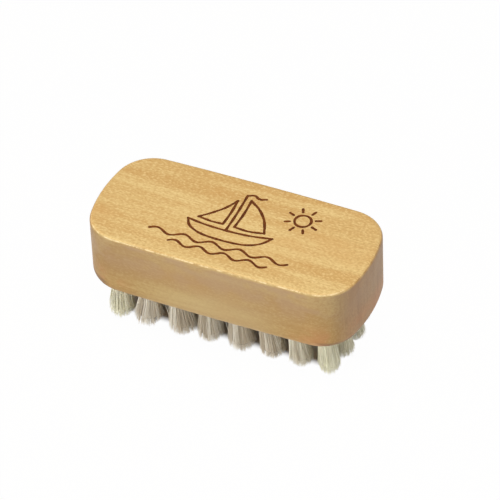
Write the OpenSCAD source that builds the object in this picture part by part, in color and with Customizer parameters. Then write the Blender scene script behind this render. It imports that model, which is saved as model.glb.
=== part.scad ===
// Nail brush: a solid wooden block with four rows of hair tufts, each folded over a flat metal anchor
// in a blind bore. The bristle tips stand on z = 0, +X runs along the block and the block is on top.

/* [Block] */
// Length of the block, over its bowed ends
block_l = 83; // [74:0.5:96]
// Width of the block, over its bowed sides
block_w = 38; // [35:0.5:44]
// Thickness of the block
block_h = 21.2; // [16:0.1:26]
// How far each long side bows out past a straight line
side_bow = 0.7; // [0.5:0.1:1.5]
// How far each end bows out past a straight line
end_bow = 4; // [2.5:0.1:5]
// Radius of the four upright corners
corner_r = 11.4; // [9:0.1:13]
// Round along the top edge
top_round = 1.1; // [0.6:0.1:2.5]
// Round along the bottom edge
bottom_round = 3.4; // [2:0.1:3.8]

/* [Rows] */
// Rows of tufts across the block
rows = 4; // [3:1:4]
// Tufts in each row
row_tufts = 8; // [6:1:8]
// From the middle of a long side to the middle of the outer row
side_margin = 8.1; // [7.4:0.1:8.8]
// From the bowed end to the middle of the last tuft in each row
end_margin = 8.4; // [7.6:0.1:11]

/* [Bores] */
// Diameter of each blind bore
bore_d = 4.6; // [4:0.1:5]
// Depth of each bore's straight wall
bore_depth = 9; // [7.5:0.1:11]
// Depth of the drill point at the end of each bore
drill_point = 1.3; // [0.8:0.1:1.6]

/* [Anchors] */
// Width of each anchor, which bites into the wood at both ends
anchor_w = 5.4; // [5.2:0.1:6]
// Height of each anchor along the bore
anchor_h = 1.8; // [1.2:0.1:2.4]
// Thickness of the anchor strip
anchor_t = 0.4; // [0.3:0.05:0.6]
// Turn of each anchor away from the grain of the wood, in degrees
anchor_turn = 30; // [0:5:90]
// Clearance round each anchor
anchor_gap = 0.05; // [0.03:0.01:0.1]

/* [Tufts] */
// Free length of the bristles under the block
bristle_l = 13.9; // [10:0.1:18]
// Clearance between a tuft's root and its bore
root_gap = 0.1; // [0.05:0.01:0.2]
// How far the packed root stands out of its bore
root_proud = 0.4; // [0.2:0.1:0.8]
// Thickness of the fold that passes over the anchor
fold_t = 2; // [1.4:0.1:2.2]
// Space left between the tips of neighbouring rows
row_gap = 0.3; // [0.3:0.05:0.8]
// Space left between the tips of neighbours in a row
tuft_gap = 1; // [0.8:0.1:2]
// How far the outer rows' tips reach outwards from the middle of their tuft
outer_reach = 5.2; // [4:0.1:6]
// Strands drawn in each tuft
strands = 13; // [10:1:13]
// Radius of a strand at its root
strand_root_r = 0.36; // [0.25:0.01:0.38]
// Radius of a strand half way down
strand_full_r = 0.45; // [0.4:0.01:0.5]
// Radius of a strand at its tip
strand_tip_r = 0.5; // [0.3:0.01:0.54]
// How much shorter the outermost strands are than the middle ones
tip_dome = 3; // [1.2:0.1:4]
// Depth by which the domed tips are cut flat where the brush stands
stand_cut = 0.5; // [0.4:0.05:0.7]

/* [Hidden] */
// Overrun of every cut and lap
over = 1;
// Fineness of bores and roots, of the upright corners, and of the rounds along the edges
round_fn = 72;
corner_fn = 48;
edge_fn = 24;
// Straight steps in half of a long side's arc and in half of an end's
side_steps = 5;
end_steps = 4;

// Half sizes and arc radii of the plan outline
half_l = block_l / 2;
half_w = block_w / 2;
side_arc_r = (half_l * half_l + side_bow * side_bow) / (2 * side_bow);
end_arc_r = (half_w * half_w + end_bow * end_bow) / (2 * end_bow);
// Where the arc centres lie: the side arc's on Y, the end arc's on X
side_arc_y = half_w - side_arc_r;
end_arc_x = half_l - end_arc_r;

// Centre of the corner that touches both arcs from inside, where two circles about the arc centres cross
arc_span = norm([end_arc_x, side_arc_y]);
side_reach = side_arc_r - corner_r;
end_reach = end_arc_r - corner_r;
along = (side_reach * side_reach - end_reach * end_reach + arc_span * arc_span) / (2 * arc_span);
across = sqrt(side_reach * side_reach - along * along);
corner = [
    (end_arc_x * along - side_arc_y * across) / arc_span,
    side_arc_y - (side_arc_y * along + end_arc_x * across) / arc_span
];
// Angles at which the corner meets the end arc and the side arc
end_angle = atan2(corner.y, corner.x - end_arc_x);
side_angle = atan2(corner.y - side_arc_y, corner.x);

// Rows and places
row_y0 = half_w - side_margin;
row_pitch = 2 * row_y0 / (rows - 1);
function row_y(row) = (row - 1) * row_pitch - row_y0;
function end_x(y) = end_arc_x + sqrt(end_arc_r * end_arc_r - y * y);
function row_x0(row) = end_x(row_y(row)) - end_margin;
function place_pitch(row) = 2 * row_x0(row) / (row_tufts - 1);
function tuft_place(row, place) = [(place - 1) * place_pitch(row) - row_x0(row), row_y(row)];

// Heights, measured up from the tips
under = bristle_l;
bore_end = under + bore_depth;
fold_end = bore_end - root_gap;
anchor_top = fold_end - fold_t;
anchor_low = anchor_top - anchor_h;

// Tuft root, its fold and the spread of its tips
bore_r = bore_d / 2;
root_r = bore_r - root_gap;
fold_r = root_r + strand_root_r;
spread_r = root_r - strand_root_r;
tip_reach_x = (place_pitch(1) - tuft_gap) / 2 - strand_tip_r;
tip_reach_y = (row_pitch - row_gap) / 2 - strand_tip_r;
tip_reach_outer = outer_reach - strand_tip_r;
// Turn from one strand of a tuft to the next, and from one tuft to the next
golden_turn = 137.508;
tuft_turn = 47;
// Sides of a strand, and where along it each ring lies, how far it has spread and its radius
strand_sides = 4;
ring_shares = [0, 0.48, 1];
spread_shares = [0, 0.45, 1];
ring_r = [strand_root_r, strand_full_r, strand_tip_r];

function tuft_name(row, place) = str("tuft_row", row, "_", place);
function anchors_name(row) = str("anchors_row", row);

// Upright section of the block's rim, out to a radius, with both edges rounded
module rim_section(reach) {
    translate([reach - bottom_round, bottom_round])
        circle(r = bottom_round, $fn = edge_fn);
    translate([reach - top_round, block_h - top_round])
        circle(r = top_round, $fn = edge_fn);
}

// Part of the rim that turns about an upright axis, to half an angle on each side of the way it faces
module rim_arc(centre, reach, facing, half_angle, steps) {
    for (mirrored = [0, 1])
        translate(centre)
            rotate([0, 0, facing])
                mirror([0, mirrored, 0])
                    rotate_extrude(angle = half_angle, $fn = steps * 360 / half_angle)
                        rim_section(reach);
}

// The block without its bores, its underside on z = 0: what a skin drawn tight over its four round
// corners, two bowed sides and two bowed ends would hold
module blank() {
    hull()
        for (turn = [0, 180])
            rotate([0, 0, turn]) {
                rim_arc([0, side_arc_y], side_arc_r, 90, 90 - side_angle, side_steps);
                rim_arc([end_arc_x, 0], end_arc_r, 0, end_angle, end_steps);
                for (place = [corner, [-corner.x, corner.y]])
                    translate(place)
                        rotate_extrude($fn = corner_fn)
                            rim_section(corner_r);
            }
}

// One blind bore, from below the underside to its drill point
module bore() {
    rotate_extrude($fn = round_fn)
        polygon([
            [0, under - over],
            [bore_r, under - over],
            [bore_r, bore_end],
            [0, bore_end + drill_point]
        ]);
}

// The flat anchor, grown by a gap on every side
module anchor_strip(gap) {
    rotate([0, 0, anchor_turn])
        translate([-anchor_w / 2 - gap, -anchor_t / 2 - gap, anchor_low - gap])
            cube([anchor_w + 2 * gap, anchor_t + 2 * gap, anchor_h + 2 * gap]);
}

module block() {
    color([0.86, 0.68, 0.44])
        difference() {
            translate([0, 0, under])
                blank();
            for (row = [1 : rows], place = [1 : row_tufts])
                translate(tuft_place(row, place)) {
                    bore();
                    anchor_strip(anchor_gap);
                }
        }
}

// The anchors of one row
module anchors(row) {
    color([0.72, 0.7, 0.66])
        for (place = [1 : row_tufts])
            translate(tuft_place(row, place))
                anchor_strip(0);
}

// The packed root in its bore: straight sides, a fold over the anchor and a slot that the anchor fills
module root() {
    difference() {
        intersection() {
            translate([0, 0, under - root_proud])
                cylinder(h = fold_end - under + root_proud, r = root_r, $fn = round_fn);
            union() {
                translate([0, 0, fold_end - fold_r])
                    rotate([0, 0, anchor_turn])
                        rotate([0, 90, 0])
                            cylinder(h = 2 * fold_r, r = fold_r, center = true, $fn = round_fn);
                translate([-fold_r, -fold_r, under - root_proud - over])
                    cube([2 * fold_r, 2 * fold_r, fold_end - fold_r - under + root_proud + over]);
            }
        }
        anchor_strip(anchor_gap);
    }
}

// Where strand k of a tuft stands, as a share of the tuft's radius
function strand_share(k) = sqrt((k + 0.5) / strands);
// How far across the rows a tip may reach: further where an outer row has no neighbour
function tip_reach_across(row, way) =
    row == 1 && way < 0 || row == rows && way > 0 ? tip_reach_outer : tip_reach_y;
// Middle of ring i of strand k: it spreads outwards on its way down to a tip on the dome
function ring_middle(row, k, i, turn) =
    let (
        share = strand_share(k),
        angle = k * golden_turn + turn,
        reach_x = spread_r + (tip_reach_x - spread_r) * spread_shares[i],
        reach_y = spread_r + (tip_reach_across(row, sin(angle)) - spread_r) * spread_shares[i],
        tip_z = max(0, tip_dome * share * share - stand_cut)
    )
    [
        reach_x * share * cos(angle),
        reach_y * share * sin(angle),
        under - (under - tip_z) * ring_shares[i]
    ];
function ring_points(row, k, i, turn) =
    let (middle = ring_middle(row, k, i, turn))
    [
        for (side = [0 : strand_sides - 1])
            let (angle = k * golden_turn + turn + side * 360 / strand_sides)
            middle + ring_r[i] * [cos(angle), sin(angle), 0]
    ];

// One strand, a four-sided spike through its rings
module strand(row, k, turn) {
    rings = len(ring_shares);
    points = [for (i = [0 : rings - 1]) each ring_points(row, k, i, turn)];
    walls = [
        for (i = [0 : rings - 2], side = [0 : strand_sides - 1])
            let (
                here = i * strand_sides + side,
                next = i * strand_sides + (side + 1) % strand_sides
            )
            each [
                [here, next, next + strand_sides],
                [here, next + strand_sides, here + strand_sides]
            ]
    ];
    tip = (rings - 1) * strand_sides;
    caps = [
        for (side = [1 : strand_sides - 2])
            each [
                [0, side + 1, side],
                [tip, tip + side, tip + side + 1]
            ]
    ];
    polyhedron(points = points, faces = concat(walls, caps));
}

module tuft(row, place) {
    color([0.87, 0.84, 0.75])
        translate(tuft_place(row, place)) {
            root();
            for (k = [0 : strands - 1])
                strand(row, k, tuft_turn * (place + row * row_tufts));
        }
}

block();
for (row = [1 : rows])
    anchors(row);
for (row = [1 : rows], place = [1 : row_tufts])
    tuft(row, place);
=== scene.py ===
import math

import bmesh
import bpy
import numpy as np
from mathutils import Matrix, Vector


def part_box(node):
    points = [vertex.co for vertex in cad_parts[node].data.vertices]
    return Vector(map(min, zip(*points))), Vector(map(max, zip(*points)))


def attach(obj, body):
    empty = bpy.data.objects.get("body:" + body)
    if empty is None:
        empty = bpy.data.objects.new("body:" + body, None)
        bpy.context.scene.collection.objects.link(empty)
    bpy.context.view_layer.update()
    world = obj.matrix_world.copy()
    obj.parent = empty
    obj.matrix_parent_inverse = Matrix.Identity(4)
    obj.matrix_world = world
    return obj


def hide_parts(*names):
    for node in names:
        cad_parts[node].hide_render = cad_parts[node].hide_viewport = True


# A wooden nail brush. Its block of honey-coloured wood has a burnt line drawing on top, and 32 tufts of
# pale hair stand in blind bores in its underside, each folded over a metal anchor.
# Lengths are in millimetres and are turned into metres as the meshes are made.
MM = 0.001

# Rim of the block: how far it bows out, its rounds, and the steps in each of its arcs
SIDE_BOW = 0.7
END_BOW = 4.0
CORNER_R = 11.4
TOP_ROUND = 1.1
BOTTOM_ROUND = 3.4
SIDE_STEPS = 40
END_STEPS = 24
CORNER_STEPS = 22
BOTTOM_STEPS = 12
TOP_STEPS = 8
WALL_STEPS = 6
# Width of a narrow flat ring beside each round, so that the flat faces shade flat
FLAT_RING = 0.4
# Edges that turn more than this many degrees are shaded sharp
SHARP_EDGE = 28

# Bores and anchors
ROWS = 4
ROW_TUFTS = 8
BORE_R = 2.3
BORE_DEPTH = 9.0
DRILL_POINT = 1.3
DRILL_TIP_R = 0.02
BORE_SIDES = 40
ANCHOR_W = 5.4
ANCHOR_H = 1.8
ANCHOR_T = 0.4
ANCHOR_TURN = math.radians(30)
ANCHOR_GAP = 0.05
CUT_OVERRUN = 1.0

# Burnt line drawing: the groove's width and depth, how they waver, and its floor's share of the width
LINE_W = 0.82
LINE_DEPTH = 0.16
LINE_FLOOR_SHARE = 0.55
LINE_DEPTH_SHARES = (0.9, 1.1)
LINE_WAVER = 0.12
LINE_WAVER_LENGTH = 5.0
# How far the cutting tool stands out over the wood, and the steps along a stroke and round its ends
LINE_LIFT = 0.4
LINE_STEP = 0.35
LINE_LEAST_STEPS = 4
LINE_END_STEPS = 4
KNOT_STEPS = 12
# Rays of the sun and how far out each runs, and points in one crest of a wave
SUN_RAYS = 8
SUN_RAY_REACH = (1.3, 2, 2.7)
CREST_POINTS = 8

# Packed roots: their radius, how far up in the bore they start, and the fold's height over an anchor
ROOT_R = 2.2
ROOT_RECESS = 1.2
ROOT_SIDES = 40
FOLD_T = 2.0

# Hairs: how many, their radius and its spread, taper and tip, and how far up in the bore they start
HAIRS = 820
HAIR_R = 0.078
HAIR_R_SHARES = (0.75, 1.1)
HAIR_TAPER = 0.25
TIP_SHARE = 0.35
HAIR_SIDES = 3
HAIR_RINGS = 6
HAIR_START = 1.8
# Below 1 the hairs stand closer towards the rim of a tuft
RIM_BIAS = 0.75
# Clumps that the tips draw together in, how strongly, how far clumps and hairs stray from their places on a
# disc of radius 1, and the turn between the clumps' disc and the hairs', in radians
CLUMPS = 38
CLUMPING = 0.34
CLUMPING_SHARES = (0.6, 1.3)
CLUMP_SHIFT = 0.04
HAIR_SHIFT = 0.05
CLUMP_TURN = 1
# Room left before the next tuft, reach where there is none, the dome that the tips lie on, how far tips and
# whole clumps waver from it, and the least height of a tip
TIP_GAP = 0.1
FREE_REACH = 5.1
TIP_DOME = 3.6
DOME_POWER = 2.6
TIP_WAVER = 0.22
CLUMP_WAVER = 0.07
TIP_LOWEST = 0.02
# Below 0 a hair leaves its bore straight and spreads late; the wave is across it, in half turns
FLARE = -0.2
WAVE = 0.16
WAVE_TURNS = 1.3
# How much of a hair's tone it shares with its clump
CLUMP_TONE_SHARE = 0.7
# How far the tips of a tuft out of sight lean along and across the rows
LEAN = (0.5, -0.1)
LEAN_WAVER = 0.18
# Lean of each front tuft and the share of its room that it fills, and both for the last tuft of other rows
FRONT_LEANS = (0.5, 0.1, 1.1, 0.5, 1.5, 1.8, 1.5, 1.2)
FRONT_SPREADS = (0.88, 0.97, 1, 0.9, 0.95, 0.88, 0.84, 0.74)
END_LEAN = 0.0
END_SPREAD = 0.96
# Stray hairs of a tuft: which may stray, how far their tips reach out past the others and down, and how much
# more they wave
STRAYS = 7
STRAY_RIM_SHARE = 0.8
STRAY_LEAST_SHARE = 0.2
STRAY_REACH = 0.9
STRAY_DROP = 1.0
STRAY_WAVE = 4.0
# Dense core of a tuft: its share of the spread, how far it stays above the tips and wavers, and its darker
# tones, for its sides and for the dome that closes it
CORE_SHARE = 0.78
CORE_DROP = 2.2
CORE_WAVER = 0.5
CORE_SIDES = 48
CORE_RINGS = 8
DOME_RINGS = 5
# The darker tones are painted shade between the hairs
CORE_TONES = (-0.5, 0.2)
DOME_TONE = -0.8
# How much painted green light from the surroundings the hair of some tufts takes, by row and place, and the
# most that this changes their colour
GREEN_LIT_TUFTS = {(1, 1): 0.9, (1, 7): 0.3, (1, 8): 1.0, (2, 8): 0.8, (3, 8): 0.8, (4, 8): 0.6}
GREEN_LIGHT_SHARE = 0.85
GOLDEN_TURN = math.radians(137.508)
SEED = 7

# Colours as they look on a screen, 0 to 255
WOOD_DARK = (214, 172, 106)
WOOD_PALE = (233, 200, 134)
WOOD_LINE = (203, 155, 92)
WOOD_CLOUD = (216, 165, 98)
FLECK_DARK = (196, 145, 80)
FLECK_PALE = (248, 219, 156)
# The next three are the end grain's duller colours, darker too as painted shade
END_PALE = (167, 131, 102)
END_DARK = (151, 116, 93)
END_STREAK = (136, 104, 84)
# The next two are painted shade on the long walls
SIDE_SHADE = (214, 213, 210)
LEFT_SHADE = (237, 233, 225)
# Next a painted light low in the middle of the walls, as if bounced up from the floor, then tones warmer low
# near the ends and greyer above
PAINTED_BOUNCE_LIGHT = (197, 174, 131)
WARM_PATCH = (200, 136, 92)
GREY_PATCH = (178, 147, 117)
# The next three: a painted highlight along the top edge, on the sides and at the ends, and painted shade on
# the ends' lower edges
PAINTED_HIGHLIGHT_SIDE = (250, 226, 174)
PAINTED_HIGHLIGHT_END = (176, 130, 78)
PAINTED_EDGE_SHADE = (98, 72, 52)
SCORCH_DARK = (88, 42, 14)
SCORCH_PALE = (124, 68, 26)
SCORCH_RIM = (168, 108, 52)
HAIR_DARK = (213, 201, 179)
HAIR_PALE = (255, 251, 238)
HAIR_SHADE = (222, 208, 184)
# A painted green light from the surroundings, which some tufts take
HAIR_GREEN_LIGHT = (255, 254, 228)
# Painted shade between the hairs, on the core of each tuft
HAIR_PAINTED_SHADE = (120, 106, 82)
STEEL_DARK = (150, 146, 138)
STEEL_PALE = (190, 187, 180)

# Waves of each texture along x, y and z
BAND_WAVES = (70, 4.5, 10)
LINE_WAVES = (14, 0.45, 0.9)
FLECK_WAVES = (0.9, 0.5, 0.5)
CLOUD_WAVES = (26, 14, 14)
PORE_WAVES = (0.5, 0.5, 0.9)
STREAK_WAVES = (1.6, 1.6, 30)
PATCH_WAVES = (9, 9, 6)
WEAR_WAVES = (2.6, 2.6, 2.6)
SCORCH_WAVES = (0.8, 0.8, 0.8)
HAIR_WAVES = (0.5, 0.5, 6)
STEEL_WAVES = (2, 0.1, 0.1)
FLOOR_WAVES = (30, 30, 30)

# Where the wood's tone, its painted wall shade and its painted bounce light change: along x from the middle,
# in from the ends, and up from the underside
LEFT_FROM = -5
PALE_LEFT = (-32, 2)
PALE_RIGHT = (30, 10)
PALE_UP = (19, 2)
WARM_IN = (20, 8)
WARM_UP = (12, 3)
GREY_UP = 5
# Down from the top, where the grey is full
GREY_DOWN = 3
# Painted shade on the lower edges of the ends, up from the underside, and how much higher it climbs at the
# right end and at the left one
DARK_UP = (2, 0.9)
DARK_CLIMB = (1, 2.6)
WOOD_SPECULAR = 0.18

# Camera, by a least squares fit to the photograph: it aims near the middle of the block's top, and its
# distance and shifts are in millimetres, as the lens and sensor are
CAMERA_AZIMUTH = math.radians(25.683)
CAMERA_ELEVATION = math.radians(42.539)
CAMERA_ROLL = math.radians(-2.565)
CAMERA_DISTANCE = 1093.0
CAMERA_SHIFT_RIGHT = 4.086
CAMERA_SHIFT_UP = -7.072
CAMERA_LENS = 280.75
CAMERA_SENSOR = 36.0
CAMERA_FAR_METRES = 100

# Light: the sky's strength, and the power of each lamp in watts, with its size and place in metres
SKY_STRENGTH = 0.15
LAMPS = {
    "key": (5.05, 0.5, (0.05, -0.1, 0.8)),
    "low": (2.5, 0.3, (-0.42, -0.62, 0.16)),
    "end": (0.68, 0.3, (0.66, -0.34, 0.16)),
}

# Floor: half its width in metres, how far in from the middles of the outer tufts it starts to fade to white
# and over what length, how white it gets, its grey for the light that bounces, and its tones near the tufts
FLOOR_HALF_METRES = 1.5
FLOOR_DARK_MARGIN = (0.5, 3.0)
FLOOR_FADE = 3.0
FLOOR_WHITE = 0.985
FLOOR_BOUNCE = 0.85
# The floor's tones near the tufts are warmer and darker than its bounce: painted shade under the brush
FLOOR_SHADE_TONES = ((0.8, 0.69, 0.59, 1), (0.84, 0.73, 0.63, 1))

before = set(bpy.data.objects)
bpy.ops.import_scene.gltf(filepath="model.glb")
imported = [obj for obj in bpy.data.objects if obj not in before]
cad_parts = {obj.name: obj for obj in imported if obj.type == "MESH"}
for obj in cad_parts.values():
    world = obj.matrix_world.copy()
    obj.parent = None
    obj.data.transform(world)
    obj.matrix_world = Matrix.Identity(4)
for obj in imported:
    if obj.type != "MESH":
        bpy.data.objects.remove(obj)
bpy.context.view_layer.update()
rng = np.random.default_rng(SEED)

block_low, block_high = (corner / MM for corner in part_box("block"))
HALF_L = block_high.x
HALF_W = block_high.y
UNDER = block_low.z
TOP = block_high.z


# Meshes

def new_object(name, mesh):
    piece = bpy.data.objects.new(name, mesh)
    bpy.context.scene.collection.objects.link(piece)
    return piece


def from_bmesh(name, bm):
    """An object made from a bmesh in millimetres."""
    bmesh.ops.recalc_face_normals(bm, faces=bm.faces)
    bmesh.ops.scale(bm, vec=(MM, MM, MM), verts=bm.verts)
    mesh = bpy.data.meshes.new(name)
    bm.to_mesh(mesh)
    bm.free()
    return new_object(name, mesh)


def skin(bm, rings, closed=False):
    """Quads between rings of points with the same count, with a face over each end unless closed."""
    loops = [[bm.verts.new(point) for point in ring] for ring in rings]
    pairs = list(zip(loops, loops[1:]))
    if closed:
        pairs.append((loops[-1], loops[0]))
    for low, high in pairs:
        for i in range(len(low)):
            j = (i + 1) % len(low)
            bm.faces.new((low[i], low[j], high[j], high[i]))
    if not closed:
        bm.faces.new(loops[0][::-1])
        bm.faces.new(loops[-1])


def boolean(piece, tool, operation):
    """Applies one exact boolean to a piece and removes the tool."""
    modifier = piece.modifiers.new("boolean", "BOOLEAN")
    modifier.operation = operation
    modifier.solver = "EXACT"
    modifier.material_mode = "TRANSFER"
    modifier.object = tool
    graph = bpy.context.evaluated_depsgraph_get()
    mesh = bpy.data.meshes.new_from_object(piece.evaluated_get(graph))
    piece.modifiers.clear()
    piece.data = mesh
    bpy.data.objects.remove(tool)


def shade(piece):
    piece.data.shade_smooth()
    piece.data.set_sharp_from_angle(angle=math.radians(SHARP_EDGE))


# Where the tufts stand, from the frame: the anchors of a row lie in the middle of its bores

def tuft_places():
    reach = ANCHOR_W / 2 * math.cos(ANCHOR_TURN) + ANCHOR_T / 2 * math.sin(ANCHOR_TURN)
    places = {}
    for row in range(1, ROWS + 1):
        low, high = (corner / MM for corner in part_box(f"anchors_row{row}"))
        end_x = high.x - reach
        for place in range(1, ROW_TUFTS + 1):
            x = end_x * (2 * (place - 1) / (ROW_TUFTS - 1) - 1)
            places[row, place] = Vector((x, (low.y + high.y) / 2, 0))
    return places


PLACES = tuft_places()
BORE_END = UNDER + BORE_DEPTH
FOLD_END = BORE_END - (BORE_R - ROOT_R)
ANCHOR_MIDDLE = FOLD_END - FOLD_T - ANCHOR_H / 2


def anchor_strip(bm, middle, gap):
    """A box the size of an anchor, grown by a gap on every side."""
    size = (ANCHOR_W + 2 * gap, ANCHOR_T + 2 * gap, ANCHOR_H + 2 * gap)
    place = Matrix.Translation(middle + Vector((0, 0, ANCHOR_MIDDLE)))
    turn = Matrix.Rotation(ANCHOR_TURN, 4, "Z")
    bmesh.ops.create_cube(bm, size=1, matrix=place @ turn @ Matrix.Diagonal((*size, 1)))


# Block

def rim_arcs():
    """The arcs of the plan outline, anticlockwise from the +X end: centre, radius, from, to, steps."""
    side_r = (HALF_L ** 2 + SIDE_BOW ** 2) / (2 * SIDE_BOW)
    end_r = (HALF_W ** 2 + END_BOW ** 2) / (2 * END_BOW)
    side_y = HALF_W - side_r
    end_x = HALF_L - end_r
    # The corner's centre, where circles about the two arc centres cross
    side_reach = side_r - CORNER_R
    end_reach = end_r - CORNER_R
    span = math.hypot(end_x, side_y)
    along = (side_reach ** 2 - end_reach ** 2 + span ** 2) / (2 * span)
    across = math.sqrt(side_reach ** 2 - along ** 2)
    corner_x = (end_x * along - side_y * across) / span
    corner_y = side_y - (side_y * along + end_x * across) / span
    end_angle = math.atan2(corner_y, corner_x - end_x)
    side_angle = math.atan2(corner_y - side_y, corner_x)
    arcs = []
    for half in (0, 1):
        sign = 1 - 2 * half
        turn = half * math.pi
        arcs += [
            ((sign * end_x, 0), end_r, turn - end_angle, turn + end_angle, END_STEPS),
            ((sign * corner_x, sign * corner_y), CORNER_R,
             turn + end_angle, turn + side_angle, CORNER_STEPS),
            ((0, sign * side_y), side_r, turn + side_angle, turn + math.pi - side_angle, SIDE_STEPS),
            ((-sign * corner_x, sign * corner_y), CORNER_R,
             turn + math.pi - side_angle, turn + math.pi - end_angle, CORNER_STEPS),
        ]
    return arcs


def rim_ring(inset, z):
    """The outline moved in by an inset, at a height."""
    ring = []
    for (x, y), radius, start, end, steps in rim_arcs():
        for i in range(steps):
            angle = start + (end - start) * i / steps
            reach = radius - inset
            ring.append((x + reach * math.cos(angle), y + reach * math.sin(angle), z))
    return ring


def rim_levels():
    """Inset and height of each ring, from the underside to the top."""
    levels = [(BOTTOM_ROUND + FLAT_RING, UNDER)]
    for i in range(BOTTOM_STEPS + 1):
        angle = math.pi / 2 * i / BOTTOM_STEPS
        levels.append((BOTTOM_ROUND * (1 - math.sin(angle)), UNDER + BOTTOM_ROUND * (1 - math.cos(angle))))
    wall_low = UNDER + BOTTOM_ROUND
    wall_high = TOP - TOP_ROUND
    for i in range(1, WALL_STEPS):
        levels.append((0, wall_low + (wall_high - wall_low) * i / WALL_STEPS))
    for i in range(TOP_STEPS + 1):
        angle = math.pi / 2 * i / TOP_STEPS
        levels.append((TOP_ROUND * (1 - math.cos(angle)), wall_high + TOP_ROUND * math.sin(angle)))
    levels.append((TOP_ROUND + FLAT_RING, TOP))
    return levels


def blank():
    bm = bmesh.new()
    skin(bm, [rim_ring(inset, z) for inset, z in rim_levels()])
    return from_bmesh("wood_block", bm)


def circle(middle, radius, z, sides):
    return [
        (middle.x + radius * math.cos(2 * math.pi * i / sides),
         middle.y + radius * math.sin(2 * math.pi * i / sides), z)
        for i in range(sides)
    ]


def drill_bores(piece):
    bm = bmesh.new()
    for middle in PLACES.values():
        heights = ((UNDER - CUT_OVERRUN, BORE_R), (BORE_END, BORE_R), (BORE_END + DRILL_POINT, DRILL_TIP_R))
        skin(bm, [circle(middle, radius, z, BORE_SIDES) for z, radius in heights])
    boolean(piece, from_bmesh("bores", bm), "DIFFERENCE")
    bm = bmesh.new()
    for middle in PLACES.values():
        anchor_strip(bm, middle, ANCHOR_GAP)
    boolean(piece, from_bmesh("slots", bm), "DIFFERENCE")


# Burnt drawing: strokes over the top, each through listed points, x to the right and y to the back

def smooth_path(points, closed):
    """A Catmull-Rom curve through the points, at even steps of about LINE_STEP."""
    knots = [Vector(point) for point in points]
    if closed:
        knots = [knots[-1]] + knots + knots[:2]
    else:
        knots = [2 * knots[0] - knots[1]] + knots + [2 * knots[-1] - knots[-2]]
    fine = []
    for a, b, c, d in zip(knots, knots[1:], knots[2:], knots[3:]):
        for i in range(KNOT_STEPS):
            t = i / KNOT_STEPS
            fine.append(0.5 * (2 * b + (c - a) * t + (2 * a - 5 * b + 4 * c - d) * t ** 2
                               + (3 * b - a - 3 * c + d) * t ** 3))
    if closed:
        fine.append(fine[0])
    else:
        fine.append(knots[-2])
    xy = np.array([tuple(point) for point in fine])
    far = np.concatenate([[0], np.cumsum(np.hypot(*np.diff(xy, axis=0).T))])
    count = max(LINE_LEAST_STEPS, round(far[-1] / LINE_STEP))
    at = np.linspace(0, far[-1], count + 1)
    path = np.stack([np.interp(at, far, xy[:, i]) for i in (0, 1)], axis=1)
    return (path[:-1] if closed else path), far[-1]


def line_section(middle, across, width, depth):
    """One section of a groove: sloping sides down to a narrower floor."""
    half = width / 2
    floor = LINE_FLOOR_SHARE * half
    shape = ((-half, LINE_LIFT), (-half, 0), (-floor, -depth), (floor, -depth), (half, 0), (half, LINE_LIFT))
    return [(*(middle + across * side), TOP + z) for side, z in shape]


def engrave(piece, points, closed=False):
    """Cuts one burnt stroke into the top. Its bends are gentle: a sharp corner is where two strokes meet."""
    path, length = smooth_path(points, closed)
    if closed:
        ahead = np.roll(path, -1, axis=0) - np.roll(path, 1, axis=0)
    else:
        ahead = np.gradient(path, axis=0)
    ahead /= np.linalg.norm(ahead, axis=1)[:, None]
    across = np.stack([-ahead[:, 1], ahead[:, 0]], axis=1)
    waves = max(1, round(length / LINE_WAVER_LENGTH))
    at = np.linspace(0, 2 * math.pi * waves, len(path), endpoint=not closed)
    widths = LINE_W * (1 + LINE_WAVER * np.sin(at + rng.uniform(0, 2 * math.pi)))
    depth = LINE_DEPTH * rng.uniform(*LINE_DEPTH_SHARES)
    sections = [line_section(*row, depth) for row in zip(path, across, widths)]
    if not closed:
        for i in range(1, LINE_END_STEPS + 1):
            # The last section stops short of the quarter turn, where its width would be nought
            share = math.sin(math.pi / 2 * i / (LINE_END_STEPS + 0.5))
            narrow = math.sqrt(1 - share ** 2)
            first = path[0] - ahead[0] * widths[0] / 2 * share
            last = path[-1] + ahead[-1] * widths[-1] / 2 * share
            sections.insert(0, line_section(first, across[0], widths[0] * narrow, depth))
            sections.append(line_section(last, across[-1], widths[-1] * narrow, depth))
    bm = bmesh.new()
    skin(bm, sections, closed)
    tool = from_bmesh("stroke", bm)
    tool.data.materials.append(burnt)
    boolean(piece, tool, "DIFFERENCE")


def burn_sun(piece, x, y, radius):
    def around(turn, reach):
        return x + reach * math.cos(turn), y + reach * math.sin(turn)

    step = 2 * math.pi / SUN_RAYS
    engrave(piece, [around(step * i, radius) for i in range(SUN_RAYS)], closed=True)
    for i in range(SUN_RAYS):
        engrave(piece, [around(step * (i + 0.5), radius + reach) for reach in SUN_RAY_REACH])


def burn_wave(piece, x0, x1, y, height, crests):
    count = CREST_POINTS * crests
    step = 2 * math.pi / CREST_POINTS
    engrave(piece, [(x0 + (x1 - x0) * i / count, y + height * math.sin(step * i)) for i in range(count + 1)])


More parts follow.
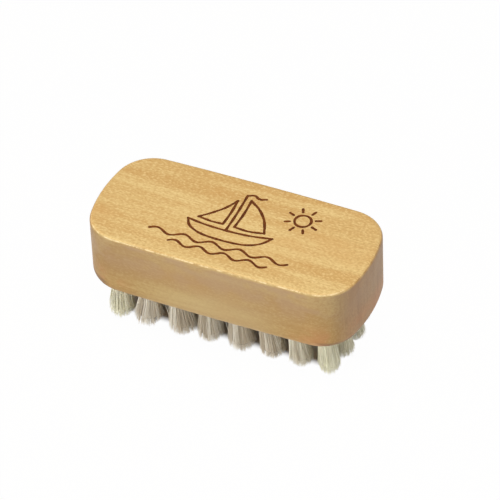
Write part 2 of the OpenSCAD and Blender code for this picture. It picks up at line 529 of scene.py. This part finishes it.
def burn_drawing(piece):
    """A small sailing boat on the waves under a sun."""
    masthead, sail_head, sail_foot, boom_end = (-1.7, 12.4), (0.2, 10.8), (0.1, -1), (9, -0.4)
    jib_head, jib_foot, jib_end = (-3.4, 9.4), (-3.4, -1), (-11, -0.6)
    stern, bow = (-13.6, -2.2), (12, -1.6)
    engrave(piece, [stern, (-11.8, -5), (-7.6, -6.9), (-1, -7.4), (5.6, -6.8), (9.6, -4.8), bow])
    engrave(piece, [stern, (-8, -3), (-1, -3.2), (5.6, -2.8), bow])
    engrave(piece, [(-1.6, -2.9), (-1.5, 4), masthead])
    engrave(piece, [sail_head, (4, 8), (7, 4.2), boom_end])
    engrave(piece, [boom_end, (4.5, -1.2), sail_foot])
    engrave(piece, [sail_foot, (0.4, 5), sail_head])
    engrave(piece, [jib_head, (-5.4, 5.6), (-8.2, 2.2), jib_end])
    engrave(piece, [jib_end, (-7, -1.1), jib_foot])
    engrave(piece, [jib_foot, (-3.2, 4.2), jib_head])
    engrave(piece, [masthead, (0.2, 13.2), (2, 12.3), (4, 12.9)])
    burn_wave(piece, -22, 20, -9.8, 0.85, 5)
    burn_wave(piece, -15, 15, -12.8, 0.8, 4)
    burn_sun(piece, 17, 8.4, 2.4)


# Tufts

def packed_root():
    """Points and faces of a tuft's root about the origin: a plug with a fold over its anchor."""
    middle = Vector((0, 0, 0))
    bm = bmesh.new()
    heights = (UNDER + ROOT_RECESS, FOLD_END - ROOT_R, FOLD_END)
    skin(bm, [circle(middle, ROOT_R, z, ROOT_SIDES) for z in heights])
    plug = from_bmesh("root", bm)
    bm = bmesh.new()
    fold_r = ROOT_R + HAIR_R
    turn = Matrix.Rotation(ANCHOR_TURN, 3, "Z")
    low = UNDER + ROOT_RECESS - CUT_OVERRUN
    arch = [(fold_r, low)]
    for i in range(ROOT_SIDES // 2 + 1):
        angle = math.pi * i / (ROOT_SIDES // 2)
        arch.append((fold_r * math.cos(angle), FOLD_END - fold_r + fold_r * math.sin(angle)))
    arch.append((-fold_r, low))
    skin(bm, [[turn @ Vector((end, y, z)) for y, z in arch] for end in (-fold_r, fold_r)])
    boolean(plug, from_bmesh("fold", bm), "INTERSECT")
    bm = bmesh.new()
    anchor_strip(bm, middle, ANCHOR_GAP)
    boolean(plug, from_bmesh("slot", bm), "DIFFERENCE")
    points = np.array([tuple(vertex.co) for vertex in plug.data.vertices]) / MM
    faces = [tuple(face.vertices) for face in plug.data.polygons]
    bpy.data.objects.remove(plug)
    return points, faces


def unit_disc(count, turn):
    k = np.arange(count)
    share = np.sqrt((k + 0.5) / count)
    angle = k * GOLDEN_TURN + turn
    return share[:, None] * np.stack([np.cos(angle), np.sin(angle)], axis=1)


def stance(row, place):
    """How far a tuft's tips lean sideways, and the share of its room that they spread over."""
    if row == 1:
        return FRONT_LEANS[place - 1], FRONT_SPREADS[place - 1]
    if place == ROW_TUFTS:
        return END_LEAN, END_SPREAD
    return LEAN[0], 1


def tip_reach(row, at):
    """How far tips in directions at reach: half way to the next tuft, and freely where there is none."""
    pitch_x = PLACES[row, 2].x - PLACES[row, 1].x
    pitch_y = PLACES[2, 1].y - PLACES[1, 1].y
    free_side = {1: -1, ROWS: 1}.get(row, 0)
    reach = np.full(at.shape, (pitch_x / 2 - TIP_GAP, pitch_y / 2 - TIP_GAP))
    reach[at[:, 1] * free_side > 0, 1] = FREE_REACH
    return reach


def hang(root, tip, tip_z, z):
    """Middles of strands from root to tip at heights z: strand by height by x, y and z."""
    # A strand is straight inside its bore and flares outwards under it
    free = np.clip((UNDER - z) / (UNDER - tip_z[:, None]), 0, 1)
    spread = free + FLARE * free * (1 - free)
    xy = root[:, None] + (tip - root)[:, None] * spread[..., None]
    return np.concatenate([xy, z[..., None]], axis=2), free


def hairs(row, place):
    """Points of every hair of one tuft about the origin, hair by ring by side, and a tone for each hair."""
    lean, spread = stance(row, place)
    turn = rng.uniform(0, 2 * math.pi)
    # The outer hairs, which show, stand closer than the ones inside
    at = unit_disc(HAIRS, turn)
    at *= np.linalg.norm(at, axis=1)[:, None] ** (RIM_BIAS - 1)
    share = np.linalg.norm(at, axis=1)
    clump_at = unit_disc(CLUMPS, turn + CLUMP_TURN)
    clump = np.argmin(np.linalg.norm(at[:, None] - clump_at[None], axis=2), axis=1)
    clump_tone = rng.uniform(0, 1, CLUMPS)
    clump_tip = rng.normal(0, CLUMP_WAVER, CLUMPS)
    clump_shift = clump_at + rng.normal(0, CLUMP_SHIFT, (CLUMPS, 2))
    loose = at + rng.normal(0, HAIR_SHIFT, (HAIRS, 2))
    drawn = rng.uniform(*CLUMPING_SHARES, HAIRS)[:, None]
    tip_at = loose + (clump_shift[clump] - loose) * CLUMPING * drawn
    reach = tip_reach(row, tip_at) * spread
    tip = tip_at * reach
    stray = rng.choice(np.nonzero(share > STRAY_RIM_SHARE)[0], STRAYS, replace=False)
    tip[stray] *= 1 + rng.uniform(STRAY_LEAST_SHARE, 1, (STRAYS, 1)) * STRAY_REACH / FREE_REACH
    limit = np.maximum(1, np.linalg.norm(tip / (reach + STRAY_REACH), axis=1))
    tip = tip / limit[:, None] + rng.normal((lean, LEAN[1]), LEAN_WAVER)
    tip_z = TIP_DOME * share ** DOME_POWER + clump_tip[clump] + rng.normal(0, TIP_WAVER, HAIRS)
    tip_z[stray] -= rng.uniform(0, STRAY_DROP, STRAYS)
    tip_z = np.maximum(TIP_LOWEST, tip_z)
    t = np.linspace(0, 1, HAIR_RINGS)
    top_z = UNDER + HAIR_START
    middle, free = hang(at * (ROOT_R - HAIR_R), tip, tip_z, top_z - (top_z - tip_z)[:, None] * t)
    wave_turn = rng.uniform(0, 2 * math.pi, (HAIRS, 1))
    wave = WAVE * rng.normal(0, 1, (HAIRS, 1)) * np.sin(free * math.pi * WAVE_TURNS)
    wave[stray] *= STRAY_WAVE
    middle[..., 0] += wave * np.cos(wave_turn)
    middle[..., 1] += wave * np.sin(wave_turn)
    radius = HAIR_R * rng.uniform(*HAIR_R_SHARES, (HAIRS, 1)) * (1 - HAIR_TAPER * t)
    radius[:, -1] *= TIP_SHARE
    side = 2 * math.pi * np.arange(HAIR_SIDES) / HAIR_SIDES + rng.uniform(0, 2 * math.pi, (HAIRS, 1))
    ring = np.stack([np.cos(side), np.sin(side), 0 * side], axis=2)
    points = middle[:, :, None] + radius[:, :, None, None] * ring[:, None]
    tone = CLUMP_TONE_SHARE * clump_tone[clump] + rng.uniform(0, 1 - CLUMP_TONE_SHARE, HAIRS)
    tone[stray] = 1
    return points, tone


def core(row, place):
    """Points of a tuft's dense middle, which its outer hairs hide, ring by ring, and a tone for each."""
    lean, spread = stance(row, place)
    turn = np.linspace(0, 2 * math.pi, CORE_SIDES, endpoint=False)
    around = CORE_SHARE * np.stack([np.cos(turn), np.sin(turn)], axis=1)
    tip = around * tip_reach(row, around) * spread + (lean, LEAN[1])
    start = UNDER + HAIR_START
    low = TIP_DOME * CORE_SHARE ** DOME_POWER + CORE_DROP + rng.uniform(0, CORE_WAVER, CORE_SIDES)
    z = start + (low - start)[:, None] * np.linspace(0, 1, CORE_RINGS)
    sides, _ = hang(around * ROOT_R, tip, low, z)
    rings = [sides[:, i] for i in range(CORE_RINGS)]
    tone = [rng.uniform(*CORE_TONES, CORE_SIDES)] * CORE_RINGS
    for i in range(1, DOME_RINGS):
        share = math.cos(math.pi / 2 * i / DOME_RINGS)
        height = TIP_DOME * (CORE_SHARE * share) ** DOME_POWER + CORE_DROP
        rings.append(np.column_stack([tip.mean(0) * (1 - share) + tip * share, np.full(CORE_SIDES, height)]))
        tone.append(np.full(CORE_SIDES, DOME_TONE))
    return np.concatenate(rings), np.concatenate(tone)


def tube_faces(rings, sides, first=0):
    """Faces of a closed tube whose points run ring by ring downwards."""
    faces = [tuple(first + i for i in range(sides))]
    for ring in range(rings - 1):
        for i in range(sides):
            a = first + ring * sides
            j = (i + 1) % sides
            faces.append((a + j, a + i, a + sides + i, a + sides + j))
    last = first + (rings - 1) * sides
    faces.append(tuple(last + i for i in reversed(range(sides))))
    return faces


def tuft(row, place, root):
    """Makes one tuft: its packed root, its core and its hairs in one piece, with a tone for every hair."""
    root_points, root_faces = root
    hair_points, hair_tone = hairs(row, place)
    core_points, core_tone = core(row, place)
    per_hair = HAIR_RINGS * HAIR_SIDES
    inner = len(root_points) + len(core_points)
    every = np.concatenate([root_points, core_points, hair_points.reshape(-1, 3)])
    every += np.array(PLACES[row, place])
    faces = list(root_faces) + tube_faces(CORE_RINGS + DOME_RINGS - 1, CORE_SIDES, len(root_points))
    for k in range(HAIRS):
        faces += tube_faces(HAIR_RINGS, HAIR_SIDES, inner + k * per_hair)
    mesh = bpy.data.meshes.new(f"hair_tuft_row{row}_{place}")
    mesh.from_pydata((every * MM).tolist(), [], faces)
    tones = np.concatenate([np.zeros(len(root_points)), core_tone, np.repeat(hair_tone, per_hair)])
    mesh.attributes.new("tone", "FLOAT", "POINT").data.foreach_set("value", tones.astype(np.float32))
    # How much painted green light from the surroundings this tuft takes
    green_light = np.full(len(every), GREEN_LIT_TUFTS.get((row, place), 0.0), np.float32)
    mesh.attributes.new("green_light", "FLOAT", "POINT").data.foreach_set("value", green_light)
    piece = new_object(mesh.name, mesh)
    piece.data.materials.append(hair)
    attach(piece, "root")
    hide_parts(f"tuft_row{row}_{place}")


# Materials

class Nodes:
    """The node tree of one material, with short calls for the nodes that the materials share."""

    def __init__(self, name):
        self.material = bpy.data.materials.new(name)
        self.material.use_nodes = True
        self.tree = self.material.node_tree
        self.shader = self.tree.nodes["Principled BSDF"]
        self.place = self.add("ShaderNodeTexCoord").outputs["Object"]

    def add(self, kind, **settings):
        node = self.tree.nodes.new(kind)
        for key, value in settings.items():
            setattr(node, key, value)
        return node

    def put(self, socket, value):
        if isinstance(value, bpy.types.NodeSocket):
            self.tree.links.new(value, socket)
        else:
            socket.default_value = value

    def scaled(self, x, y, z):
        """The object's coordinates in waves of x, y and z millimetres."""
        node = self.add("ShaderNodeMapping")
        self.put(node.inputs["Vector"], self.place)
        node.inputs["Scale"].default_value = (1 / (MM * x), 1 / (MM * y), 1 / (MM * z))
        return node.outputs["Vector"]

    def noise(self, vector, detail=3, rough=0.55, distortion=0.0):
        node = self.add("ShaderNodeTexNoise")
        self.put(node.inputs["Vector"], vector)
        node.inputs["Scale"].default_value = 1
        node.inputs["Detail"].default_value = detail
        node.inputs["Roughness"].default_value = rough
        node.inputs["Distortion"].default_value = distortion
        return node.outputs[0]

    def span(self, value, low, high, to_low=0.0, to_high=1.0):
        """A value's span from low to high, taken to another span and kept within it."""
        node = self.add("ShaderNodeMapRange", interpolation_type="SMOOTHSTEP")
        self.put(node.inputs["Value"], value)
        node.inputs["From Min"].default_value = low
        node.inputs["From Max"].default_value = high
        node.inputs["To Min"].default_value = to_low
        node.inputs["To Max"].default_value = to_high
        return node.outputs["Result"]

    def math(self, operation, a, b=0.0):
        node = self.add("ShaderNodeMath", operation=operation)
        self.put(node.inputs[0], a)
        self.put(node.inputs[1], b)
        return node.outputs[0]

    def mix(self, share, a, b, blend="MIX"):
        node = self.add("ShaderNodeMix", data_type="RGBA", blend_type=blend)
        self.put(node.inputs[0], share)
        # The sockets of the colours come after those of numbers and vectors
        self.put(node.inputs[6], a)
        self.put(node.inputs[7], b)
        return node.outputs[2]

    def split(self, vector):
        node = self.add("ShaderNodeSeparateXYZ")
        self.put(node.inputs[0], vector)
        return node.outputs

    def attribute(self, name):
        return self.add("ShaderNodeAttribute", attribute_name=name).outputs["Fac"]

    def bump(self, height, strength, distance):
        node = self.add("ShaderNodeBump")
        self.put(node.inputs["Height"], height)
        node.inputs["Strength"].default_value = strength
        node.inputs["Distance"].default_value = distance * MM
        self.put(self.shader.inputs["Normal"], node.outputs["Normal"])


def colour(screen):
    """A colour as it looks on a screen, 0 to 255, as the linear one that a shader takes."""
    linear = [((c / 255 + 0.055) / 1.055) ** 2.4 if c > 10 else c / 255 / 12.92 for c in screen]
    return (*linear, 1)


def long_grain(n, facing):
    """Wood along the grain, which runs from end to end: its tone, its fine lines and its flecks."""
    bands = n.noise(n.scaled(*BAND_WAVES), detail=3, distortion=0.3)
    lines = n.noise(n.scaled(*LINE_WAVES), detail=3, rough=0.6)
    flecks = n.noise(n.scaled(*FLECK_WAVES), detail=2, rough=0.5)
    clouds = n.noise(n.scaled(*CLOUD_WAVES), detail=2)
    tone = n.mix(n.span(bands, 0.35, 0.68), colour(WOOD_DARK), colour(WOOD_PALE))
    tone = n.mix(n.span(lines, 0.42, 0.66, 0, 0.35), tone, colour(WOOD_LINE))
    # The flecks show most on top
    flat = n.span(facing["Z"], 0.4, 0.9, 0.6, 1)
    for start, end, fleck in ((0.52, 0.68, FLECK_DARK), (0.48, 0.34, FLECK_PALE)):
        share = n.math("MULTIPLY", flat, n.span(flecks, start, end, 0, 0.44))
        tone = n.mix(share, tone, colour(fleck))
    tone = n.mix(n.span(clouds, 0.5, 0.75, 0, 0.4), tone, colour(WOOD_CLOUD))
    return tone, lines, flecks


def end_grain_and_shade(n, tone, endwise):
    """Duller wood where the grain ends, with pores and upright streaks in place of lines, and darker as
    painted shade on the ends.
    """
    pores = n.noise(n.scaled(*PORE_WAVES), detail=2)
    streaks = n.noise(n.scaled(*STREAK_WAVES), detail=2)
    dull = n.mix(n.span(pores, 0.4, 0.7), colour(END_PALE), colour(END_DARK))
    dull = n.mix(n.span(streaks, 0.42, 0.62, 0, 0.5), dull, colour(END_STREAK))
    return n.mix(n.span(endwise, 0.55, 0.95, 0, 0.75), tone, dull)


def shaded_walls(n, tone, facing, place):
    """Painted shade: the long walls are a little darker than the top, most towards the left end."""
    sides = n.span(n.math("ABSOLUTE", facing["Y"]), 0.4, 0.8)
    tone = n.mix(sides, tone, n.mix(1, tone, colour(SIDE_SHADE), "MULTIPLY"))
    left = n.math("MULTIPLY", sides, n.span(place["X"], LEFT_FROM * MM, -HALF_L * MM))
    return n.mix(left, tone, n.mix(1, tone, colour(LEFT_SHADE), "MULTIPLY"))


def bounce_lit_and_toned_walls(n, tone, facing, place):
    """The walls are paler low in the middle, a painted light as if bounced up from the floor, and warmer low
    near the ends and greyer above.
    """
    def between(axis, span, start=0, low=0.0, high=1.0):
        return n.span(axis, (start + span[0]) * MM, (start + span[1]) * MM, low, high)

    wall = n.span(facing["Z"], 0.6, 0.2)
    patches = n.noise(n.scaled(*PATCH_WAVES), detail=2)
    # Painted light, as if bounced up from the floor: paler low in the middle of the walls
    midway = n.math("MULTIPLY", between(place["X"], PALE_LEFT), between(place["X"], PALE_RIGHT))
    pale = n.math("MULTIPLY", midway, between(place["Z"], PALE_UP, UNDER, 0, 0.42))
    corner = n.span(n.math("ABSOLUTE", place["X"]), (HALF_L - WARM_IN[0]) * MM, (HALF_L - WARM_IN[1]) * MM)
    low = n.math("MULTIPLY", between(place["Z"], WARM_UP, UNDER), corner)
    warm = n.math("MULTIPLY", low, n.span(patches, 0.42, 0.58, 0.1, 0.5))
    high = n.span(place["Z"], (UNDER + GREY_UP) * MM, (TOP - GREY_DOWN) * MM)
    grey = n.math("MULTIPLY", high, n.span(patches, 0.6, 0.4, 0.25, 0.6))
    for share, patch in ((pale, PAINTED_BOUNCE_LIGHT), (warm, WARM_PATCH), (grey, GREY_PATCH)):
        tone = n.mix(n.math("MULTIPLY", wall, share), tone, colour(patch))
    return tone


def painted_edge_light_and_shade(n, tone, facing, place, endwise):
    """A painted highlight in a thin, broken line along the top edge, and painted shade on the lower edges at
    the ends.
    """
    # Painted highlight: a thin, broken pale line along the top edge, browner at the ends
    rim = n.math("MULTIPLY", n.span(facing["Z"], 0.5, 0.68), n.span(facing["Z"], 0.9, 0.74))
    broken = n.noise(n.scaled(*WEAR_WAVES), detail=4, rough=0.75)
    edge_highlight = n.math("MULTIPLY", rim, n.span(broken, 0.42, 0.6, 0.1, 0.85))
    tone = n.mix(edge_highlight, tone, n.mix(n.span(endwise, 0.45, 0.65), colour(PAINTED_HIGHLIGHT_SIDE), colour(PAINTED_HIGHLIGHT_END)))
    # Painted shade on the lower edges at the ends, climbing higher at the left end
    climb = n.span(facing["X"], 0.9, -0.5, DARK_CLIMB[0] * MM, DARK_CLIMB[1] * MM)
    height = n.math("SUBTRACT", place["Z"], climb)
    edge = n.span(height, (UNDER + DARK_UP[0]) * MM, (UNDER + DARK_UP[1]) * MM)
    edge_shade = n.math("MULTIPLY", edge, n.span(endwise, 0.15, 0.4, 0, 0.5))
    return n.mix(edge_shade, tone, colour(PAINTED_EDGE_SHADE))


def wood_material():
    n = Nodes("honey_wood")
    # The parts of the normal say which way the wood faces: 1 is the top in Z, and an end in endwise
    facing = n.split(n.add("ShaderNodeNewGeometry").outputs["Normal"])
    endwise = n.math("ABSOLUTE", facing["X"])
    place = n.split(n.place)
    tone, lines, flecks = long_grain(n, facing)
    tone = end_grain_and_shade(n, tone, endwise)
    tone = shaded_walls(n, tone, facing, place)
    tone = bounce_lit_and_toned_walls(n, tone, facing, place)
    tone = painted_edge_light_and_shade(n, tone, facing, place, endwise)
    n.put(n.shader.inputs["Base Color"], tone)
    n.put(n.shader.inputs["Roughness"], n.span(lines, 0.3, 0.7, 0.42, 0.54))
    n.shader.inputs["Specular IOR Level"].default_value = WOOD_SPECULAR
    relief = n.math("ADD", n.math("MULTIPLY", lines, 0.6), n.math("MULTIPLY", flecks, 0.4))
    n.bump(relief, strength=0.25, distance=0.12)
    return n.material


def burnt_material():
    n = Nodes("burnt_line")
    scorch = n.noise(n.scaled(*SCORCH_WAVES), detail=3)
    tone = n.mix(n.span(scorch, 0.3, 0.7), colour(SCORCH_DARK), colour(SCORCH_PALE))
    # The groove is lighter towards its rim
    rim = n.span(n.split(n.place)["Z"], (TOP - 0.7 * LINE_DEPTH) * MM, TOP * MM, 0, 0.45)
    n.put(n.shader.inputs["Base Color"], n.mix(rim, tone, colour(SCORCH_RIM)))
    n.shader.inputs["Roughness"].default_value = 0.85
    n.shader.inputs["Specular IOR Level"].default_value = 0.2
    n.bump(scorch, strength=0.4, distance=0.05)
    return n.material


def hair_material():
    n = Nodes("pale_hair")
    tone = n.attribute("tone")
    base = n.mix(n.span(tone, 0.1, 0.9), colour(HAIR_DARK), colour(HAIR_PALE))
    # Painted shade between the hairs, for the core's negative tones
    base = n.mix(n.span(tone, 0, -1), base, colour(HAIR_PAINTED_SHADE))
    # Painted light: a green cast and brightening from the surroundings, on some tufts
    base = n.mix(n.math("MULTIPLY", n.attribute("green_light"), GREEN_LIGHT_SHARE), base, colour(HAIR_GREEN_LIGHT))
    along = n.noise(n.scaled(*HAIR_WAVES), detail=2)
    base = n.mix(n.span(along, 0.35, 0.7, 0, 0.3), base, colour(HAIR_SHADE))
    n.put(n.shader.inputs["Base Color"], base)
    n.put(n.shader.inputs["Roughness"], n.span(along, 0.3, 0.7, 0.45, 0.6))
    n.shader.inputs["Specular IOR Level"].default_value = 0.4
    n.bump(along, strength=0.15, distance=0.03)
    return n.material


def metal_material():
    n = Nodes("anchor_steel")
    brushed = n.noise(n.scaled(*STEEL_WAVES), detail=2)
    n.put(n.shader.inputs["Base Color"], n.mix(brushed, colour(STEEL_DARK), colour(STEEL_PALE)))
    n.shader.inputs["Metallic"].default_value = 1
    n.put(n.shader.inputs["Roughness"], n.span(brushed, 0.3, 0.7, 0.3, 0.5))
    n.bump(brushed, strength=0.2, distance=0.02)
    return n.material


# Stage, lights and camera

def seen_directly(tree):
    """1 for what the camera, gloss and glass see, and 0 for the light that bounces."""
    path = tree.nodes.new("ShaderNodeLightPath")
    seen = path.outputs["Is Camera Ray"]
    for ray in ("Is Glossy Ray", "Is Transmission Ray"):
        either = tree.nodes.new("ShaderNodeMath")
        either.operation = "MAXIMUM"
        tree.links.new(seen, either.inputs[0])
        tree.links.new(path.outputs[ray], either.inputs[1])
        seen = either.outputs[0]
    return seen


def white_where_seen(tree, shader, share):
    """Mixes a plain white into a shader for what is seen directly."""
    part = tree.nodes.new("ShaderNodeMath")
    part.operation = "MULTIPLY"
    tree.links.new(seen_directly(tree), part.inputs[0])
    if isinstance(share, bpy.types.NodeSocket):
        tree.links.new(share, part.inputs[1])
    else:
        part.inputs[1].default_value = share
    white = tree.nodes.new("ShaderNodeEmission")
    white.inputs["Color"].default_value = (1, 1, 1, 1)
    white.inputs["Strength"].default_value = 1
    mixed = tree.nodes.new("ShaderNodeMixShader")
    tree.links.new(part.outputs[0], mixed.inputs[0])
    tree.links.new(shader, mixed.inputs[1])
    tree.links.new(white.outputs[0], mixed.inputs[2])
    return mixed.outputs[0]


def make_floor():
    bm = bmesh.new()
    bmesh.ops.create_grid(bm, x_segments=4, y_segments=4, size=FLOOR_HALF_METRES / MM)
    floor = from_bmesh("floor", bm)
    n = Nodes("pale_floor")
    # Near the tufts the floor that is seen is warmer and darker than the grey it bounces: painted shade
    # under the brush
    pale = n.mix(n.noise(n.scaled(*FLOOR_WAVES), detail=2), *FLOOR_SHADE_TONES)
    n.put(n.shader.inputs["Base Color"], n.mix(seen_directly(n.tree), (*[FLOOR_BOUNCE] * 3, 1), pale))
    n.shader.inputs["Roughness"].default_value = 0.9
    # The floor fades to a plain white outside a box that ends a little inside the outer tufts' middles
    outer = (PLACES[ROWS, ROW_TUFTS] - Vector((*FLOOR_DARK_MARGIN, 0))) * MM
    steps = (("ABSOLUTE", None), ("SUBTRACT", outer), ("MAXIMUM", (0, 0, 0)), ("LENGTH", None))
    away = n.place
    for operation, other in steps:
        node = n.add("ShaderNodeVectorMath", operation=operation)
        n.put(node.inputs[0], away)
        if other:
            node.inputs[1].default_value = other
        away = node.outputs["Value" if operation == "LENGTH" else "Vector"]
    share = n.span(away, 0, FLOOR_FADE * MM, 0, FLOOR_WHITE)
    output = n.tree.nodes["Material Output"]
    mixed = white_where_seen(n.tree, n.shader.outputs[0], share)
    n.tree.links.new(mixed, output.inputs["Surface"])
    floor.data.materials.append(n.material)


def make_world():
    world = bpy.data.worlds.new("studio")
    bpy.context.scene.world = world
    world.use_nodes = True
    tree = world.node_tree
    sky = tree.nodes["Background"]
    sky.inputs["Color"].default_value = (1, 1, 1, 1)
    sky.inputs["Strength"].default_value = SKY_STRENGTH
    mixed = white_where_seen(tree, sky.outputs[0], 1)
    tree.links.new(mixed, tree.nodes["World Output"].inputs["Surface"])


def make_lamp(name, power, size, place):
    """A square soft lamp that faces the brush."""
    light = bpy.data.lights.new(name, "AREA")
    light.energy = power
    light.size = size
    lamp = new_object(name, light)
    lamp.location = place
    lamp.rotation_euler = (-Vector(place)).to_track_quat("-Z", "Y").to_euler()


def make_camera():
    back = Vector((
        math.sin(CAMERA_AZIMUTH) * math.cos(CAMERA_ELEVATION),
        -math.cos(CAMERA_AZIMUTH) * math.cos(CAMERA_ELEVATION),
        math.sin(CAMERA_ELEVATION),
    ))
    level = Vector((math.cos(CAMERA_AZIMUTH), math.sin(CAMERA_AZIMUTH), 0))
    upright = back.cross(level)
    right = level * math.cos(CAMERA_ROLL) + upright * math.sin(CAMERA_ROLL)
    up = upright * math.cos(CAMERA_ROLL) - level * math.sin(CAMERA_ROLL)
    lens = bpy.data.cameras.new("camera")
    lens.lens = CAMERA_LENS
    lens.sensor_width = CAMERA_SENSOR
    lens.clip_end = CAMERA_FAR_METRES
    camera = new_object("camera", lens)
    aim = Vector((0, 0, TOP))
    place = aim + back * CAMERA_DISTANCE + right * CAMERA_SHIFT_RIGHT + up * CAMERA_SHIFT_UP
    turn = Matrix((right, up, back)).transposed().to_4x4()
    camera.matrix_world = Matrix.Translation(place * MM) @ turn
    bpy.context.scene.camera = camera


wood = wood_material()
burnt = burnt_material()
hair = hair_material()
metal = metal_material()

wood_block = blank()
wood_block.data.materials.append(wood)
drill_bores(wood_block)
burn_drawing(wood_block)
shade(wood_block)
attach(wood_block, "root")
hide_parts("block")

folded_root = packed_root()
for row, place in PLACES:
    tuft(row, place, folded_root)

for row in range(1, ROWS + 1):
    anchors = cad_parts[f"anchors_row{row}"]
    anchors.data.materials.clear()
    anchors.data.materials.append(metal)

make_floor()
make_world()
for name, (power, size, place) in LAMPS.items():
    make_lamp(name, power, size, place)
make_camera()
bpy.context.scene.view_settings.view_transform = "Standard"
